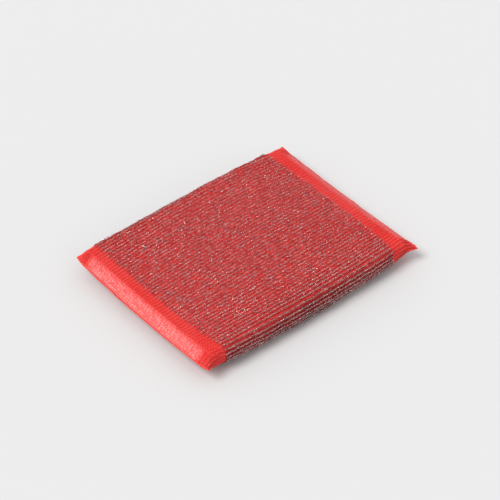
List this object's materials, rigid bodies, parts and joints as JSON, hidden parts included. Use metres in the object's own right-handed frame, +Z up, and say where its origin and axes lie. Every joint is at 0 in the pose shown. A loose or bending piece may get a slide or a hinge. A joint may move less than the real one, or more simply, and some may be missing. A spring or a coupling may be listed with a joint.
{
  "type": "metallised scouring pad",
  "caption": "Flat padded scouring pad: red knitted sleeve plated with metal thread, see-through fused ends, foam core inside.",
  "frame": {"origin": "middle of the underside, on the surface that the pad lies on", "axes": "+X along the knitted rows, from one fused end to the other; +Y across the pad; +Z up, through its thickness"},
  "size_m": [0.12, 0.0904, 0.013],
  "materials": {
    "metallised_knit": "satin red knit with bright metal thread",
    "foam": "matt open-cell foam"
  },
  "bodies": {
    "root": {"knit_sleeve": "metallised_knit", "foam_core": "foam"}
  },
  "joints": []
}
